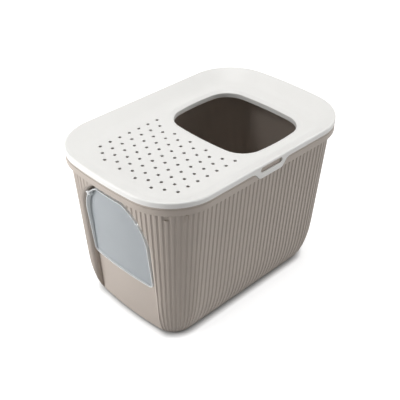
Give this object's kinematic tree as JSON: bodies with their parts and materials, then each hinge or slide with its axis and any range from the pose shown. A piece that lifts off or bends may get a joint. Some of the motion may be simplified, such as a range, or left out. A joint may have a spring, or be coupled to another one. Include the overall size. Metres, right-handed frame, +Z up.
{
  "type": "top entry litter box",
  "caption": "Rounded rectangular litter box with a dished perforated lid, a top entry hole, side latch tabs, a fluted tapered tub and a translucent swing flap at one end.",
  "frame": {"origin": "on the floor, under the middle of the box", "axes": "+Z up, the long side runs along Y, the end with the flap faces -Y, the latch tabs face +X and -X"},
  "size_m": [0.39, 0.585, 0.395],
  "materials": {
    "tub_plastic": "satin moulded polypropylene",
    "lid_plastic": "satin moulded polypropylene",
    "flap_plastic": "translucent moulded plastic"
  },
  "bodies": {
    "tub": {"tub": "tub_plastic"},
    "lid": {"lid": "lid_plastic"},
    "flap": {"front_flap": "flap_plastic"}
  },
  "joints": [
    {"name": "lid_lift", "type": "slide", "parent": "tub", "child": "lid", "axis": [0, 0, 1], "range_m": [0, 0.08]},
    {"name": "flap_hinge", "type": "hinge", "parent": "tub", "child": "flap", "pos_m": [0, -0.263, 0.307], "axis": [-1, 0, 0], "range_deg": [0, 60]}
  ]
}
